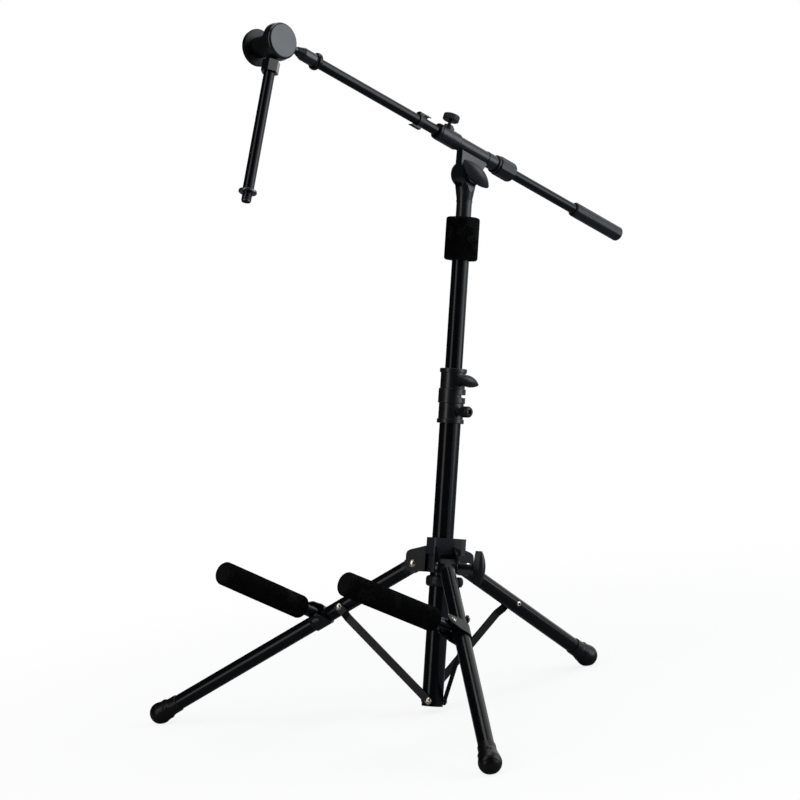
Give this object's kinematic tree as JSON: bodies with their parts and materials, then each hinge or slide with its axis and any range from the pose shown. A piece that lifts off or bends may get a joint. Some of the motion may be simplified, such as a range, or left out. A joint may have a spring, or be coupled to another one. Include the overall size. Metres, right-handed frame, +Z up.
{
  "type": "boom microphone stand",
  "caption": "Leaning tripod amplifier stand with foam-covered support arms, a telescoping mast and a counter-held boom that carries a hinged drop arm with a microphone thread.",
  "frame": {"origin": "on the floor, in the middle of the stand's overall box seen from above", "axes": "+Z up from the floor, -Y to the front where the boom and the support arms reach, +X to the stand's right leg"},
  "size_m": [0.8712, 0.832, 1.1465],
  "materials": {
    "tube": "gloss black powder coat",
    "casting": "satin black paint on cast metal",
    "sheet": "satin black paint on pressed sheet",
    "fixing": "bright nickel plate",
    "plastic": "fine grained black plastic",
    "nylon": "plain dark nylon",
    "rubber": "black rubber with a soft sheen",
    "foam": "matt black closed cell foam",
    "stud": "blackened steel"
  },
  "bodies": {
    "mast": {"lower_mast_tube": "tube", "mast_end_plug": "plastic", "strut_screws": "fixing", "stop_ring": "plastic", "stop_ring_screw": "plastic", "height_collar": "casting", "collar_bushing": "nylon"},
    "height_knob": {"height_wing_knob": "plastic"},
    "lock_knob": {"collar_lock_knob": "plastic"},
    "hub": {"leg_hub": "casting", "leg_brackets": "sheet", "leg_pivot_pins": "fixing"},
    "hub_knob": {"hub_clamp_knob": "plastic"},
    "guide": {"guide_bush": "nylon"},
    "post": {"upper_mast_tube": "tube", "mast_foam": "foam", "boom_yoke": "casting", "clutch_bolt": "fixing"},
    "clutch_knob": {"clutch_wing_knob": "plastic"},
    "boom_clutch": {"boom_clutch": "casting", "clutch_washers": "nylon", "boom_front_bush": "plastic", "boom_nut_ring": "plastic", "boom_collet": "nylon"},
    "boom_nut": {"boom_lock_nut": "plastic"},
    "boom_thumb": {"boom_thumbscrew": "plastic"},
    "boom": {"boom_tube": "tube", "boom_end_stud": "stud", "boom_grip": "plastic", "cable_clip": "plastic"},
    "swivel": {"swivel_body": "casting", "swivel_axle": "fixing", "swivel_washers": "nylon"},
    "swivel_knob": {"swivel_tension_knob": "plastic"},
    "drop": {"drop_knuckle": "casting", "drop_tube": "tube", "drop_thread_stud": "stud"},
    "leg_left": {"leg_tube_left": "tube", "leg_knuckle_left": "plastic", "foot_cap_left": "rubber", "arm_clamp_left": "sheet", "arm_pivot_bolt_left": "fixing"},
    "strut_left": {"leg_strut_left": "sheet", "strut_rivet_left": "fixing"},
    "arm_left": {"arm_tube_left": "tube", "arm_foam_left": "foam"},
    "leg_right": {"leg_tube_right": "tube", "leg_knuckle_right": "plastic", "foot_cap_right": "rubber", "arm_clamp_right": "sheet", "arm_pivot_bolt_right": "fixing"},
    "strut_right": {"leg_strut_right": "sheet", "strut_rivet_right": "fixing"},
    "arm_right": {"arm_tube_right": "tube", "arm_foam_right": "foam"},
    "leg_rear": {"leg_tube_rear": "tube", "leg_knuckle_rear": "plastic", "foot_cap_rear": "rubber"},
    "strut_rear": {"leg_strut_rear": "sheet", "strut_rivet_rear": "fixing"}
  },
  "joints": [
    {"name": "hub_slide", "type": "slide", "parent": "mast", "child": "hub", "axis": [0, 0.2349, 0.972], "range_m": [0, 0.1293]},
    {"name": "leg_left_fold", "type": "hinge", "parent": "hub", "child": "leg_left", "pos_m": [-0.03854, -0.08943, 0.23937], "axis": [0.5, -0.8418, 0.2034], "range_deg": [0, 44.7]},
    {"name": "strut_left_fold", "type": "hinge", "parent": "mast", "child": "strut_left", "pos_m": [0, -0.11995, 0.01836], "axis": [0.5, -0.8418, 0.2034], "range_deg": [-29.68, 0]},
    {"name": "leg_right_fold", "type": "hinge", "parent": "hub", "child": "leg_right", "pos_m": [0.03854, -0.08943, 0.23937], "axis": [0.5, 0.8418, -0.2034], "range_deg": [0, 44.7]},
    {"name": "strut_right_fold", "type": "hinge", "parent": "mast", "child": "strut_right", "pos_m": [0, -0.11995, 0.01836], "axis": [0.5, 0.8418, -0.2034], "range_deg": [-29.68, 0]},
    {"name": "leg_rear_fold", "type": "hinge", "parent": "hub", "child": "leg_rear", "pos_m": [0, -0.02455, 0.22369], "axis": [-1, 0, 0], "range_deg": [0, 51.4]},
    {"name": "strut_rear_fold", "type": "hinge", "parent": "mast", "child": "strut_rear", "pos_m": [0, -0.11995, 0.01836], "axis": [-1, 0, 0], "range_deg": [-26.47, 0]},
    {"name": "hub_knob_turn", "type": "hinge", "parent": "hub", "child": "hub_knob", "pos_m": [0.05196, -0.03864, 0.2271], "axis": [0.866, 0.486, -0.1174], "continuous": true},
    {"name": "arm_left_fold", "type": "hinge", "parent": "leg_left", "child": "arm_left", "pos_m": [-0.16904, -0.2128, 0.17416], "axis": [-0.6373, 0.2987, 0.7104], "range_deg": [-50, 15]},
    {"name": "arm_right_fold", "type": "hinge", "parent": "leg_right", "child": "arm_right", "pos_m": [0.17063, -0.21199, 0.17584], "axis": [-0.657, -0.3665, -0.6589], "range_deg": [-50, 15]},
    {"name": "mast_height", "type": "slide", "parent": "mast", "child": "guide", "axis": [0, 0.2349, 0.972], "range_m": [-0.17, 0.2]},
    {"name": "mast_swivel", "type": "hinge", "parent": "guide", "child": "post", "pos_m": [0, -0.00462, 0.49562], "axis": [0, 0.2349, 0.972], "continuous": true},
    {"name": "height_knob_turn", "type": "hinge", "parent": "mast", "child": "height_knob", "pos_m": [0.0318, 0.00349, 0.52916], "axis": [1, 0, 0], "continuous": true},
    {"name": "lock_knob_turn", "type": "hinge", "parent": "mast", "child": "lock_knob", "pos_m": [0.0268, -0.00837, 0.48007], "axis": [1, 0, 0], "continuous": true},
    {"name": "boom_tilt", "type": "hinge", "parent": "post", "child": "boom_clutch", "pos_m": [0, 0.08347, 0.86013], "axis": [1, 0, 0], "range_deg": [-60, 60]},
    {"name": "clutch_knob_turn", "type": "hinge", "parent": "post", "child": "clutch_knob", "pos_m": [0.0152, 0.08347, 0.86013], "axis": [1, 0, 0], "continuous": true},
    {"name": "boom_nut_turn", "type": "hinge", "parent": "boom_clutch", "child": "boom_nut", "pos_m": [0, 0.16459, 0.85981], "axis": [0, -0.8609, 0.5088], "continuous": true},
    {"name": "boom_thumb_turn", "type": "hinge", "parent": "boom_clutch", "child": "boom_thumb", "pos_m": [0, 0.04923, 0.92799], "axis": [0, 0.5088, 0.8609], "continuous": true},
    {"name": "boom_slide", "type": "slide", "parent": "boom_clutch", "child": "boom", "axis": [0, -0.8609, 0.5088], "range_m": [-0.018, 0.145]},
    {"name": "swivel_turn", "type": "hinge", "parent": "boom", "child": "swivel", "pos_m": [0, -0.27015, 1.11676], "axis": [0, -0.8609, 0.5088], "continuous": true},
    {"name": "drop_tilt", "type": "hinge", "parent": "swivel", "child": "drop", "pos_m": [0, -0.27015, 1.11676], "axis": [0.9877, 0.0796, 0.1347], "range_deg": [-85, 40]},
    {"name": "swivel_knob_turn", "type": "hinge", "parent": "swivel", "child": "swivel_knob", "pos_m": [-0.04938, -0.27413, 1.11003], "axis": [0.9877, 0.0796, 0.1347], "continuous": true}
  ],
  "couplings": [
    {"joint": "leg_left_fold", "follows": "hub_slide", "rad_per_m": 6.0337},
    {"joint": "strut_left_fold", "follows": "hub_slide", "rad_per_m": -4.0057},
    {"joint": "leg_right_fold", "follows": "hub_slide", "rad_per_m": 6.0337},
    {"joint": "strut_right_fold", "follows": "hub_slide", "rad_per_m": -4.0057},
    {"joint": "leg_rear_fold", "follows": "hub_slide", "rad_per_m": 6.938},
    {"joint": "strut_rear_fold", "follows": "hub_slide", "rad_per_m": -3.5727}
  ]
}
